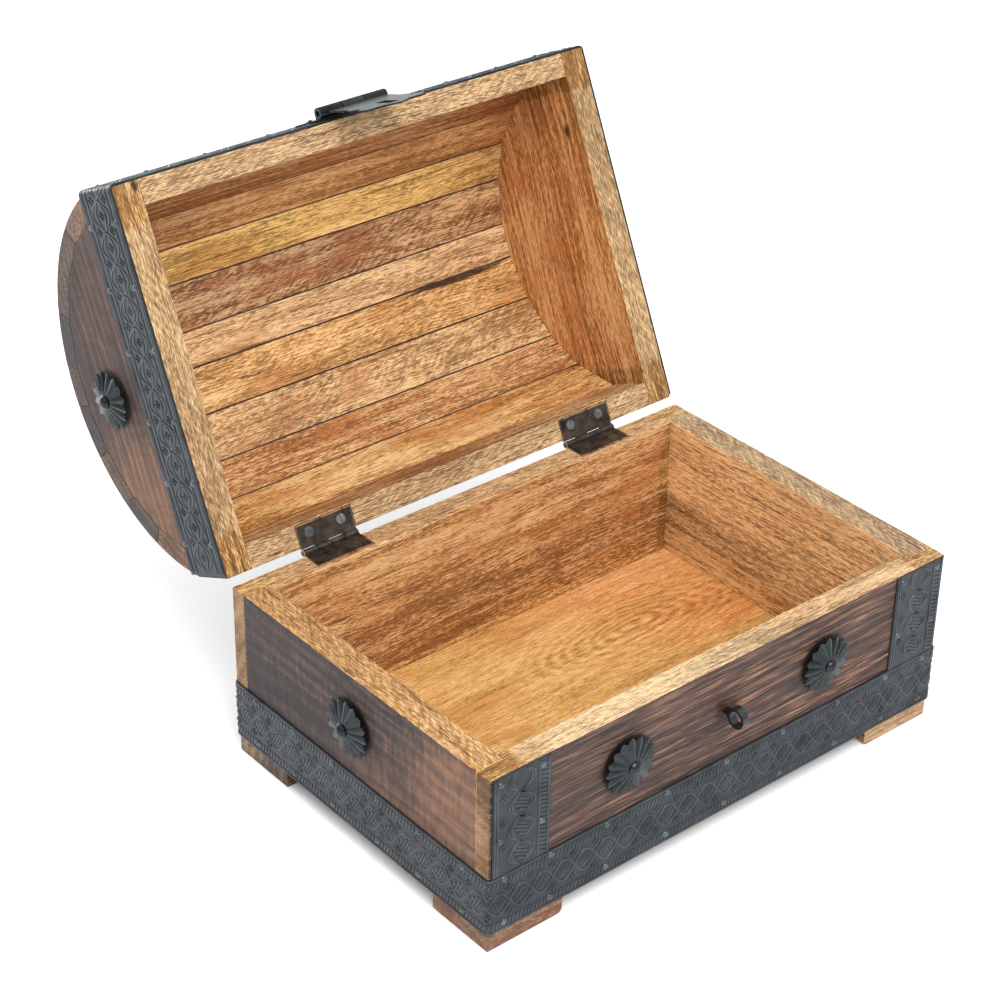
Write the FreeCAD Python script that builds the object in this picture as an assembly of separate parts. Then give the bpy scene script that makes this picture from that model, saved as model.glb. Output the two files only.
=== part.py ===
import FreeCAD, Part
import math
import os

# Domed wooden chest with a hinged lid, stamped sheet-metal bands and a hasp, in millimetres.
# The tray stands on the plane z = 0, centred on the origin, +X along its length and -Y to its front.
# The lid is drawn closed and then swung open about the hinge pins, as the chest is shown.

V = FreeCAD.Vector
os.makedirs("parts", exist_ok=True)

# Wooden tray
length = 300.0
depth = 200.0
rim_h = 100.0
long_wall_t = 14.0
end_wall_t = 16.0
lap_lip = 9.5
floor_t = 6.5
corner_r = 1.5
foot_h = 10.5
foot_x = 46.0
foot_y = 41.0
foot_inset = 0.4
foot_edge_r = 2.0

# Wooden lid
rim_gap = 0.2
rail_t = 13.0
lid_end_t = 15.0
stave_t = 11.0
dome_swell = 3.5
dome_centre_up = 0.8
rail_bevel = 1.6
stave_angles = [18.4, 35.2, 51.0, 65.6, 82.6, 94.8, 110.7, 127.6, 143.4, 163.6]
open_angle = 115.0

# Stamped sheet-metal bands
sheet_t = 0.8
base_band_w = 33.0
strap_w = 34.0
strap_gap = 0.2
lid_band_w = 34.0
bend_ease = 0.2

# Round-headed nails that hold the bands
nail_head_r = 1.8
nail_head_h = 1.0
nail_shank_r = 0.7
nail_len = 8.0
nail_edge_low = 4.5
nail_edge_high = 3.2
front_nail_share = [0.0, 0.26, 0.52]
front_nail_second = 37.0
front_nail_corner = 9.0
end_nail_share = [0.18, 0.5]
end_nail_corner = 18.0
strap_nail_in = 4.6
strap_nail_pitch = 32.0

# Flower-shaped rosettes with domed nails
rosette_r = 15.4
rosette_rise = 5.4
rosette_flat_r = 3.6
rosette_sheet = 0.7
petal_count = 16
petal_notch = 3.2
petal_bite = 0.92
rosette_from_end = 84.5
rosette_front_shift = -1.0
rosette_drop = 29.0
rosette_end_y = 3.0
rosette_lid_up = 62.0
rosette_lid_y = 5.0
cap_r = 3.8
cap_h = 2.2
cap_shank_r = 1.2
cap_depth = 10.0

# Butt hinges let into the rims
hinge_from_end = 62.2
hinge_len = 34.6
hinge_out = 2.7
hinge_barrel_r = 1.8
hinge_pin_r = 1.0
hinge_leaf_w = 14.5
hinge_leaf_t = 1.2
hinge_sink = 0.1
knuckle_gap = 0.3
knuckle_clear = 0.5
leaf_clear = 0.2
mortise_gap = 0.4
screw_head_r = 2.7
screw_shank_r = 1.2
screw_len = 9.0
screw_x = 10.0
screw_in = 9.5
screw_slot_w = 0.7
screw_slot_d = 0.5
screw_turns = [20.0, 75.0, 110.0, 40.0]

# Hasp on the lid and split-pin staple on the tray
hasp_x = -2.0
hasp_up = 4.0
hasp_out = 5.4
hasp_barrel_r = 3.0
hasp_pin_r = 1.4
hasp_pin_short = 1.5
hasp_len = 43.0
hasp_t = 1.0
plate_gap = 0.4
plate_rise = 31.0
plate_neck_half = 4.5
plate_neck_up = 24.0
plate_nail_r = 1.6
plate_nail_len = 9.0
flap_side_in = 3.0
flap_neck = 6.0
flap_point_half = 8.3
flap_point_rise = 4.5
flap_tip_margin = 6.0
flap_tip_clear = 0.35
flap_slot_w = 6.0
flap_slot_clear = 1.0
staple_drop = 28.1
staple_out = 8.0
staple_eye_r = 3.9
staple_wire = 1.6
staple_w = 4.2
staple_clinch = 9.0
staple_clinch_t = 1.0

# Right half of the hasp plate's scrolled outline: x from the barrel's end, z from its axis
plate_outline = [(-2.0, 0.0), (0.0, 5.0), (8.5, 10.0), (-3.0, 13.0), (-4.5, 20.0), (-9.0, 19.0),
                 (-13.0, 22.0)]
plate_nail_at = [(0.0, 9.0), (-13.0, 17.0)]
# Right half of the flap's scalloped side: x from its half width, z from its tip
flap_outline = [(-1.4, 24.0), (1.4, 18.0), (-2.8, 14.5), (1.4, 10.0)]

# Nails under the base
base_nail_head_r = 2.4
base_nail_head_h = 0.9
base_nail_r = 0.9
base_nail_sink = 0.3
base_nail_len = 24.0
foot_nail_len = 14.0
floor_nail_x = [20.0, 58.0]
floor_nail_y = 34.0
foot_nail_pitch = 16.0

fit_gap = 0.05
tip_gap = 0.3

# Places worked out from the sizes above
hx = length / 2.0
hy = depth / 2.0
floor_z = foot_h + floor_t
band_z = foot_h + base_band_w
lid_z = rim_h + rim_gap
hinge_x = hx - hinge_from_end
hinge_y = hy + hinge_out
hinge_z = rim_h + rim_gap / 2.0
dome_z = lid_z + dome_centre_up
dome_r = hy + dome_swell
dome_in = dome_r - stave_t
hasp_y = -(hy + hasp_out)
hasp_z = rim_h + hasp_up
staple_z = rim_h - staple_drop
plate_half = hasp_len / 2.0 + max(x for x, z in plate_outline)


def box(x0, x1, y0, y1, z0, z1):
    return Part.makeBox(x1 - x0, y1 - y0, z1 - z0, V(x0, y0, z0))


def upright_edges(shape):
    return [e for e in shape.Edges if abs(e.tangentAt(e.FirstParameter).z) > 0.999]


def round_box(x0, x1, y0, y1, z0, z1, r):
    block = box(x0, x1, y0, y1, z0, z1)
    return block.makeFillet(r, upright_edges(block))


def prism_x(points, x0, x1):
    loop = [V(x0, y, z) for y, z in points]
    face = Part.Face(Part.makePolygon(loop + [loop[0]]))
    return face.extrude(V(x1 - x0, 0, 0))


def rod_x(x0, x1, y, z, r):
    return Part.makeCylinder(r, x1 - x0, V(x0, y, z), V(1, 0, 0))


def dome_point(angle, r):
    a = math.radians(angle)
    return (-r * math.cos(a), dome_z + r * math.sin(a))


def placed(shape, at, out):
    moved = shape.copy()
    moved.Placement = FreeCAD.Placement(at, FreeCAD.Rotation(V(0, 0, 1), out))
    return moved


def domed_nail(head_r, head_h, shank_r, shank_len):
    ball_r = (head_r ** 2 + head_h ** 2) / (2.0 * head_h)
    mid = V(ball_r * math.sin(0.5 * math.asin(head_r / ball_r)), 0,
            head_h - ball_r + ball_r * math.cos(0.5 * math.asin(head_r / ball_r)))
    dome = Part.Arc(V(0, 0, head_h), mid, V(head_r, 0, 0)).toShape()
    sides = Part.makePolygon([V(head_r, 0, 0), V(shank_r, 0, 0), V(shank_r, 0, -shank_len),
                              V(0, 0, -shank_len), V(0, 0, head_h)])
    return Part.Face(Part.Wire([dome] + sides.Edges)).revolve(V(0, 0, 0), V(0, 0, 1), 360)


def flat_nail(head_r, head_h, shank_r, shank_len):
    head = Part.makeCylinder(head_r, head_h, V(0, 0, -head_h))
    shank = Part.makeCylinder(shank_r, shank_len, V(0, 0, -shank_len))
    return head.fuse(shank).removeSplitter()


def nail_hole(shank_r, shank_len):
    return Part.makeCylinder(shank_r + fit_gap, shank_len + 2.0 * tip_gap, V(0, 0, -shank_len - tip_gap))


def drilled(shape, tools):
    near = [t for t in tools if t.BoundBox.intersect(shape.BoundBox)]
    return shape.cut(Part.makeCompound(near)) if near else shape


def opened(shape):
    swung = shape.copy()
    swung.rotate(V(0, hinge_y, hinge_z), V(1, 0, 0), -open_angle)
    return swung


def save(name, shape):
    shape.exportStep("parts/" + name + ".step")


# Nails in the bands: two rows along each side, the lower row and the upper row at their own edges
band_nail = domed_nail(nail_head_r, nail_head_h, nail_shank_r, nail_len)
band_hole = nail_hole(nail_shank_r, nail_len)
side_x = [share * hx for share in front_nail_share] + [hx - front_nail_second, hx - front_nail_corner]
side_y = [share * hy for share in end_nail_share] + [hy - end_nail_corner]


def band_sites(z0, width, skip_half, with_rear):
    sites = []
    for z in (z0 + nail_edge_low, z0 + width - nail_edge_high):
        for x in sorted(set([-x for x in side_x] + side_x)):
            if abs(x - hasp_x) > skip_half:
                sites.append((V(x, -hy - sheet_t, z), V(0, -1, 0)))
            if with_rear:
                sites.append((V(x, hy + sheet_t, z), V(0, 1, 0)))
        for y in sorted(set([-y for y in side_y] + side_y)):
            sites.append((V(-hx - sheet_t, y, z), V(-1, 0, 0)))
            sites.append((V(hx + sheet_t, y, z), V(1, 0, 0)))
    return sites


base_sites = band_sites(foot_h, base_band_w, -1.0, True)
lid_sites = band_sites(lid_z, lid_band_w, plate_half + nail_head_r, False)
strap_sites = []
for side in (-1.0, 1.0):
    for inward in (strap_nail_in, strap_w - strap_nail_in):
        for down in (strap_nail_in, strap_nail_in + strap_nail_pitch):
            at = V(side * (hx - corner_r - inward), -hy - sheet_t, rim_h - down)
            strap_sites.append((at, V(0, -1, 0)))

# Rosettes: a conical sheet with pointed petals, one nail through the middle of each
bore_r = cap_shank_r + fit_gap
profile = [V(bore_r, 0, rosette_rise), V(rosette_flat_r, 0, rosette_rise), V(rosette_r, 0, 0),
           V(rosette_r, 0, rosette_sheet), V(rosette_flat_r, 0, rosette_rise + rosette_sheet),
           V(bore_r, 0, rosette_rise + rosette_sheet)]
flower = Part.Face(Part.makePolygon(profile + [profile[0]])).revolve(V(0, 0, 0), V(0, 0, 1), 360)
notches = []
half_petal = math.pi / petal_count
for i in range(petal_count):
    a = 2.0 * half_petal * i
    reach = rosette_r + petal_notch
    wide = petal_bite * half_petal * reach / rosette_r
    tri = [V((rosette_r - petal_notch) * math.cos(a), (rosette_r - petal_notch) * math.sin(a), -1.0),
           V(reach * math.cos(a + wide), reach * math.sin(a + wide), -1.0),
           V(reach * math.cos(a - wide), reach * math.sin(a - wide), -1.0)]
    notches.append(Part.Face(Part.makePolygon(tri + [tri[0]])).extrude(V(0, 0, rosette_rise + 2.0)))
flower = flower.cut(Part.makeCompound(notches))
cap_seat = rosette_rise + rosette_sheet
cap_nail = domed_nail(cap_r, cap_h, cap_shank_r, cap_seat + cap_depth)
cap_hole = nail_hole(cap_shank_r, cap_depth)
flower_x = hx - rosette_from_end
flower_z = rim_h - rosette_drop
tray_flowers = {
    "rosette_front_left": (V(rosette_front_shift - flower_x, -hy, flower_z), V(0, -1, 0)),
    "rosette_front_right": (V(rosette_front_shift + flower_x, -hy, flower_z), V(0, -1, 0)),
    "rosette_left_end": (V(-hx, rosette_end_y, flower_z), V(-1, 0, 0)),
    "rosette_right_end": (V(hx, rosette_end_y, flower_z), V(1, 0, 0)),
}
lid_flowers = {
    "rosette_lid_left": (V(-hx, rosette_lid_y, lid_z + rosette_lid_up), V(-1, 0, 0)),
    "rosette_lid_right": (V(hx, rosette_lid_y, lid_z + rosette_lid_up), V(1, 0, 0)),
}

# Nails under the base: some through the floor into the walls, two in each foot
floor_sites = []
under_z = foot_h + base_nail_sink
for sx in (-1.0, 1.0):
    for sy in (-1.0, 1.0):
        for x in floor_nail_x:
            floor_sites.append((V(sx * x, sy * (hy - long_wall_t / 2.0), under_z), V(0, 0, -1)))
        floor_sites.append((V(sx * (hx - end_wall_t / 2.0), sy * floor_nail_y, under_z), V(0, 0, -1)))
foot_sites = []
for sx in (-1.0, 1.0):
    for sy in (-1.0, 1.0):
        for along in (-foot_nail_pitch / 2.0, foot_nail_pitch / 2.0):
            foot_sites.append((V(sx * (hx - foot_inset - foot_x / 2.0 + along),
                                 sy * (hy - foot_inset - foot_y / 2.0), base_nail_sink), V(0, 0, -1)))
floor_nail = flat_nail(base_nail_head_r, base_nail_head_h, base_nail_r, base_nail_len)
foot_nail = flat_nail(base_nail_head_r, base_nail_head_h, base_nail_r, foot_nail_len)
head_seat = Part.makeCylinder(base_nail_head_r + fit_gap, base_nail_head_h + 2.0 * base_nail_sink,
                              V(0, 0, -base_nail_head_h))
floor_hole = nail_hole(base_nail_r, base_nail_len).fuse(head_seat)
foot_hole = nail_hole(base_nail_r, foot_nail_len).fuse(head_seat)

# Hinges: each pair of leaves shares one pin, knuckles alternate tray, lid, tray, lid
pitch = hinge_len / 4.0
screw_cone = Part.makeCone(screw_shank_r, screw_head_r, hinge_leaf_t, V(0, 0, -hinge_leaf_t))
screw_shank = Part.makeCylinder(screw_shank_r, screw_len, V(0, 0, -screw_len))
screw_slot = box(-screw_head_r - 1.0, screw_head_r + 1.0, -screw_slot_w / 2.0, screw_slot_w / 2.0,
                 -screw_slot_d, 1.0)
screw = screw_cone.fuse(screw_shank).removeSplitter().cut(screw_slot)
screw_sink = Part.makeCone(screw_shank_r + fit_gap, screw_head_r + fit_gap, hinge_leaf_t,
                           V(0, 0, -hinge_leaf_t))
screw_hole = nail_hole(screw_shank_r, screw_len)


def hinge_leaf(centre, own):
    # Drawn as the tray's leaf; the lid's leaf is the same with the other knuckles, turned over.
    top = rim_h - hinge_sink
    edge = hinge_y - hinge_barrel_r - leaf_clear
    leaf = box(centre - hinge_len / 2.0, centre + hinge_len / 2.0, hinge_y - hinge_leaf_w, edge,
               top - hinge_leaf_t, top)
    for k in own:
        x0 = centre - hinge_len / 2.0 + k * pitch + knuckle_gap / 2.0
        x1 = x0 + pitch - knuckle_gap
        leaf = leaf.fuse(box(x0, x1, edge, hinge_y, top - hinge_leaf_t, top))
        leaf = leaf.fuse(rod_x(x0, x1, hinge_y, hinge_z, hinge_barrel_r))
    bore = rod_x(centre - hinge_len, centre + hinge_len, hinge_y, hinge_z, hinge_pin_r + fit_gap)
    leaf = leaf.cut(bore).removeSplitter()
    for x in (centre - screw_x, centre + screw_x):
        leaf = leaf.cut(placed(screw_sink, V(x, hinge_y - screw_in, top), V(0, 0, 1)))
    return leaf


def turned_over(shape):
    flat = shape.copy()
    return flat.mirror(V(0, 0, hinge_z), V(0, 0, 1))


tray_screw_sites = []
for centre in (-hinge_x, hinge_x):
    for x in (centre - screw_x, centre + screw_x):
        tray_screw_sites.append(V(x, hinge_y - screw_in, rim_h - hinge_sink))
tray_screws = []
for site, turn in zip(tray_screw_sites, screw_turns):
    one = screw.copy()
    one.rotate(V(0, 0, 0), V(0, 0, 1), turn)
    one.translate(site)
    tray_screws.append(one)
mortises = [box(c - hinge_len / 2.0 - mortise_gap, c + hinge_len / 2.0 + mortise_gap,
                hinge_y - hinge_leaf_w - mortise_gap, hy + 1.0,
                rim_h - hinge_sink - hinge_leaf_t, rim_h + 1.0)
            for c in (-hinge_x, hinge_x)]
screw_holes = [placed(screw_hole, s, V(0, 0, 1)) for s in tray_screw_sites]

# Staple: an eye on two legs that pass through the front board and are bent over inside
eye_out_r = staple_eye_r + staple_wire
eye_y = -hy - staple_out
staple_x0 = hasp_x - staple_w / 2.0
staple_x1 = hasp_x + staple_w / 2.0
leg_half = staple_wire / 2.0
inside_y = -hy + long_wall_t
staple = rod_x(staple_x0, staple_x1, eye_y, staple_z, eye_out_r)
staple = staple.fuse(box(staple_x0, staple_x1, eye_y, inside_y + staple_clinch_t,
                         staple_z - leg_half, staple_z + leg_half))
staple = staple.fuse(box(staple_x0, staple_x1, inside_y, inside_y + staple_clinch_t,
                         staple_z - staple_clinch, staple_z + staple_clinch))
staple = staple.removeSplitter().cut(rod_x(staple_x0 - 1.0, staple_x1 + 1.0, eye_y, staple_z, staple_eye_r))
staple_hole = box(staple_x0 - fit_gap, staple_x1 + fit_gap, -hy - 1.0, inside_y + 1.0,
                  staple_z - leg_half - fit_gap, staple_z + leg_half + fit_gap)

# Everything that is drilled or cut out of the tray's wood and bands
tray_cuts = [placed(band_hole, at, out) for at, out in base_sites + strap_sites]
tray_cuts += [placed(cap_hole, at, out) for at, out in tray_flowers.values()]
tray_cuts += [placed(floor_hole, at, out) for at, out in floor_sites]
tray_cuts += [placed(foot_hole, at, out) for at, out in foot_sites]
tray_cuts += mortises + screw_holes + [staple_hole]

# Tray walls: front and rear boards run the full length, the end boards stand in their laps
front_board = box(-hx, hx, -hy, -hy + long_wall_t, floor_z, rim_h)
outer_edges = [e for e in upright_edges(front_board) if e.CenterOfMass.y < -hy + 0.01]
front_board = front_board.makeFillet(corner_r, outer_edges)
for x0, x1 in ((-hx - 1.0, -hx + end_wall_t), (hx - end_wall_t, hx + 1.0)):
    lap = box(x0, x1, -hy + lap_lip, -hy + long_wall_t + 1.0, floor_z - 1.0, rim_h + 1.0)
    front_board = front_board.cut(lap)
rear_board = front_board.mirror(V(0, 0, 0), V(0, 1, 0))
left_end_board = box(-hx, -hx + end_wall_t, -hy + lap_lip, hy - lap_lip, floor_z, rim_h)
right_end_board = box(hx - end_wall_t, hx, -hy + lap_lip, hy - lap_lip, floor_z, rim_h)
bottom_board = round_box(-hx, hx, -hy, hy, foot_h, floor_z, corner_r)
for name, board in (("front_board", front_board), ("rear_board", rear_board),
                    ("left_end_board", left_end_board), ("right_end_board", right_end_board),
                    ("bottom_board", bottom_board)):
    save(name, drilled(board, tray_cuts))

# Feet: four blocks under the corners
for name, sx, sy in (("foot_front_left", -1, -1), ("foot_front_right", 1, -1),
                     ("foot_rear_left", -1, 1), ("foot_rear_right", 1, 1)):
    xs = sorted([sx * (hx - foot_inset), sx * (hx - foot_inset - foot_x)])
    ys = sorted([sy * (hy - foot_inset), sy * (hy - foot_inset - foot_y)])
    save(name, drilled(round_box(xs[0], xs[1], ys[0], ys[1], 0, foot_h, foot_edge_r), tray_cuts))


# Bands: a strip of sheet bent round the corners of the box
def band_ring(z0, z1):
    outer = round_box(-hx - sheet_t, hx + sheet_t, -hy - sheet_t, hy + sheet_t, z0, z1,
                      corner_r - bend_ease + sheet_t)
    return outer.cut(round_box(-hx, hx, -hy, hy, z0 - 1.0, z1 + 1.0, corner_r - bend_ease))


save("base_band", drilled(band_ring(foot_h, band_z), tray_cuts))
for name, side in (("front_left_strap", -1.0), ("front_right_strap", 1.0)):
    xs = sorted([side * (hx - corner_r), side * (hx - corner_r - strap_w)])
    strap = box(xs[0], xs[1], -hy - sheet_t, -hy, band_z + strap_gap, rim_h - strap_gap)
    save(name, drilled(strap, tray_cuts))
save("base_band_nails", Part.makeCompound([placed(band_nail, at, out) for at, out in base_sites]))
save("strap_nails", Part.makeCompound([placed(band_nail, at, out) for at, out in strap_sites]))
save("floor_nails", Part.makeCompound([placed(floor_nail, at, out) for at, out in floor_sites]))
save("foot_nails", Part.makeCompound([placed(foot_nail, at, out) for at, out in foot_sites]))

for name, (at, out) in tray_flowers.items():
    save(name, placed(flower, at, out))


def cap_nails(sites):
    nails = []
    for at, out in sites:
        nails.append(placed(cap_nail, at + V(out).multiply(cap_seat), out))
    return Part.makeCompound(nails)


save("rosette_nails_tray", cap_nails(tray_flowers.values()))
save("hasp_staple", staple)

for side, centre in (("left", -hinge_x), ("right", hinge_x)):
    save(side + "_hinge_tray_leaf", hinge_leaf(centre, (0, 2)))
    hinge_pin = rod_x(centre - hinge_len / 2.0, centre + hinge_len / 2.0, hinge_y, hinge_z, hinge_pin_r)
    save(side + "_hinge_pin", hinge_pin)
    save(side + "_hinge_lid_leaf", opened(turned_over(hinge_leaf(centre, (1, 3)))))
save("hinge_tray_screws", Part.makeCompound(tray_screws))
save("hinge_lid_screws", opened(Part.makeCompound([turned_over(s) for s in tray_screws])))

# Hasp: an ornamental plate on the lid's front and a slotted flap that swings on its pin
plate_back = -(hy + sheet_t + plate_gap)
plate_front = plate_back - hasp_t
third = hasp_len / 3.0
half = hasp_len / 2.0
outline = [(half + x, z) for x, z in plate_outline] + [(plate_neck_half, plate_neck_up), (0.0, plate_rise)]
plate_points = outline + [(-x, z) for x, z in reversed(outline[:-1])]


def plate_xz(points, y0, y1, x_at, z_at):
    loop = [V(x_at + x, y0, z_at + z) for x, z in points]
    return Part.Face(Part.makePolygon(loop + [loop[0]])).extrude(V(0, y1 - y0, 0))


plate = plate_xz(plate_points, plate_front, plate_back, hasp_x, hasp_z)
middle = third / 2.0 + knuckle_gap
plate = plate.cut(box(hasp_x - middle, hasp_x + middle, plate_front - 1.0, plate_back + 1.0,
                      hasp_z - 1.0, hasp_z + hasp_barrel_r + knuckle_clear))
for x0 in (hasp_x - half, hasp_x + middle):
    x1 = x0 + third - knuckle_gap
    plate = plate.fuse(box(x0, x1, hasp_y, plate_back, hasp_z, hasp_z + hasp_barrel_r))
    plate = plate.fuse(rod_x(x0, x1, hasp_y, hasp_z, hasp_barrel_r))
hasp_bore = rod_x(hasp_x - hasp_len, hasp_x + hasp_len, hasp_y, hasp_z, hasp_pin_r + fit_gap)
plate = plate.cut(hasp_bore).removeSplitter()
plate_sites = [(V(hasp_x + side * (half + x), plate_front, hasp_z + z), V(0, -1, 0))
               for side in (-1.0, 1.0) for x, z in plate_nail_at]
plate_nail = domed_nail(plate_nail_r, nail_head_h, nail_shank_r, plate_nail_len)
plate_holes = [placed(nail_hole(nail_shank_r, plate_nail_len), at, out) for at, out in plate_sites]

slot_mid = hasp_up + staple_drop
slot_half = eye_out_r + flap_slot_clear
tip = slot_mid + slot_half + flap_tip_margin
lean = math.degrees(math.asin((hasp_out - hasp_t / 2.0 - flap_tip_clear) / tip))
clear_r = hasp_barrel_r + knuckle_clear
flap_half_w = half - flap_side_in
edge = [(flap_half_w, -clear_r), (flap_half_w, -clear_r - flap_neck)]
edge += [(flap_half_w + x, z - tip) for x, z in flap_outline]
edge += [(flap_half_w, flap_point_rise - tip), (flap_point_half, flap_point_rise - tip), (0.0, -tip)]
flap_points = edge + [(-x, z) for x, z in reversed(edge[:-1])]
flap = plate_xz(flap_points, hasp_y - hasp_t / 2.0, hasp_y + hasp_t / 2.0, hasp_x, hasp_z)
tongue_x = third / 2.0 - knuckle_gap
flap = flap.fuse(box(hasp_x - tongue_x, hasp_x + tongue_x, hasp_y - hasp_t / 2.0, hasp_y + hasp_t / 2.0,
                     hasp_z - clear_r, hasp_z))
flap = flap.fuse(rod_x(hasp_x - tongue_x, hasp_x + tongue_x, hasp_y, hasp_z, hasp_barrel_r))
flap = flap.cut(hasp_bore).removeSplitter()
flap = flap.cut(box(hasp_x - flap_slot_w / 2.0, hasp_x + flap_slot_w / 2.0, hasp_y - hasp_t, hasp_y + hasp_t,
                    hasp_z - slot_mid - slot_half, hasp_z - slot_mid + slot_half))
flap.rotate(V(0, hasp_y, hasp_z), V(1, 0, 0), lean)
save("hasp_flap", opened(flap))
save("hasp_plate", opened(drilled(plate, plate_holes)))
plate_nails = Part.makeCompound([placed(plate_nail, at, out) for at, out in plate_sites])
save("hasp_plate_nails", opened(plate_nails))
pin_half = half - hasp_pin_short
save("hasp_pin", opened(rod_x(hasp_x - pin_half, hasp_x + pin_half, hasp_y, hasp_z, hasp_pin_r)))

# Everything that is drilled or cut out of the lid's wood and band
lid_cuts = [placed(band_hole, at, out) for at, out in lid_sites]
lid_cuts += [placed(cap_hole, at, out) for at, out in lid_flowers.values()]
lid_cuts += [turned_over(t) for t in mortises + screw_holes] + plate_holes

# Lid frame: end panels over the full depth, rails between them, staves over everything
rail_in = hy - rail_t
front_a = stave_angles[0]
rear_a = stave_angles[-1]


def rail_points(angle, side):
    y_out, z_out = dome_point(angle, dome_r)
    z_in = dome_z + rail_in * math.tan(math.radians(angle if side < 0 else 180.0 - angle))
    return [(side * hy, lid_z), (side * hy, z_out - rail_bevel), (y_out, z_out), (side * rail_in, z_in),
            (side * rail_in, lid_z)]


inner_x = hx - lid_end_t
save("lid_front_rail", opened(drilled(prism_x(rail_points(front_a, -1.0), -inner_x, inner_x), lid_cuts)))
save("lid_rear_rail", opened(drilled(prism_x(rail_points(rear_a, 1.0), -inner_x, inner_x), lid_cuts)))
front_shoulder = rail_points(front_a, -1.0)[:3]
rear_shoulder = rail_points(rear_a, 1.0)[:3]
panel_points = front_shoulder + [dome_point(a, dome_in) for a in stave_angles] + rear_shoulder[::-1]
for name, x0, x1 in (("lid_left_end", -hx, -inner_x), ("lid_right_end", inner_x, hx)):
    panel = prism_x(panel_points, x0, x1)
    face_x = x0 if x0 < -inner_x else x1
    corners = [e for e in upright_edges(panel)
               if abs(e.CenterOfMass.x - face_x) < 0.01 and abs(e.CenterOfMass.y) > hy - 0.01]
    save(name, opened(drilled(panel.makeFillet(corner_r, corners), lid_cuts)))

for i in range(len(stave_angles) - 1):
    a0 = stave_angles[i]
    a1 = stave_angles[i + 1]
    o0, om, o1 = [V(-hx, *dome_point(a, dome_r)) for a in (a0, 0.5 * (a0 + a1), a1)]
    i0, i1 = [V(-hx, *dome_point(a, dome_in)) for a in (a0, a1)]
    section = Part.Wire([Part.Arc(o0, om, o1).toShape(), Part.makeLine(o1, i1), Part.makeLine(i1, i0),
                         Part.makeLine(i0, o0)])
    stave = Part.Face(section).extrude(V(length, 0, 0))
    save("lid_stave_" + str(i + 1), opened(drilled(stave, lid_cuts)))

# Lid band: round the front and both ends, stopping at the rear corners
lid_band = band_ring(lid_z, lid_z + lid_band_w)
lid_band = lid_band.cut(box(-hx - 5.0, hx + 5.0, hy - corner_r, hy + 5.0,
                            lid_z - 1.0, lid_z + lid_band_w + 1.0))
save("lid_band", opened(drilled(lid_band, lid_cuts)))
save("lid_band_nails", opened(Part.makeCompound([placed(band_nail, at, out) for at, out in lid_sites])))
for name, (at, out) in lid_flowers.items():
    save(name, opened(placed(flower, at, out)))
save("rosette_nails_lid", opened(cap_nails(lid_flowers.values())))
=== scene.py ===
import math

import bmesh
import bpy
from mathutils import Matrix, Vector


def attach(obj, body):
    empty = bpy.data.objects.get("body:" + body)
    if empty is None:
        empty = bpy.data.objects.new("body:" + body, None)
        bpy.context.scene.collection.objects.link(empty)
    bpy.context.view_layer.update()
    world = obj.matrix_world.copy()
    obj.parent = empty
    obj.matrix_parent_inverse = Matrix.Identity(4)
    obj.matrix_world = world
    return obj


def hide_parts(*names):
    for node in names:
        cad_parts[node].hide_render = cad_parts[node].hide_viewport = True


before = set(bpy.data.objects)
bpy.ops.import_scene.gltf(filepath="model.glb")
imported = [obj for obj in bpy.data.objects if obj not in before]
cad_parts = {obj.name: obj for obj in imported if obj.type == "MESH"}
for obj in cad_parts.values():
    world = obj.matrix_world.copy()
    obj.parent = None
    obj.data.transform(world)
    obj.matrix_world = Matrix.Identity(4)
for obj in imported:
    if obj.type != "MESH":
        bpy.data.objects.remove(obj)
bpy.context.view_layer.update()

# Bottom board: one broad mango-wood board under the four walls, nailed on from below.
# Inside it is clear-varnished, with a heart figure in golden and orange tones; below it carries the full dark
# stain as painted shade.
MM = 0.001


def hue(code):
    """Linear colour of a six-figure sRGB code."""
    parts = [int(code[i:i + 2], 16) / 255 for i in (0, 2, 4)]
    return tuple(c / 12.92 if c < 0.04045 else ((c + 0.055) / 1.055) ** 2.4 for c in parts) + (1.0,)


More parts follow.
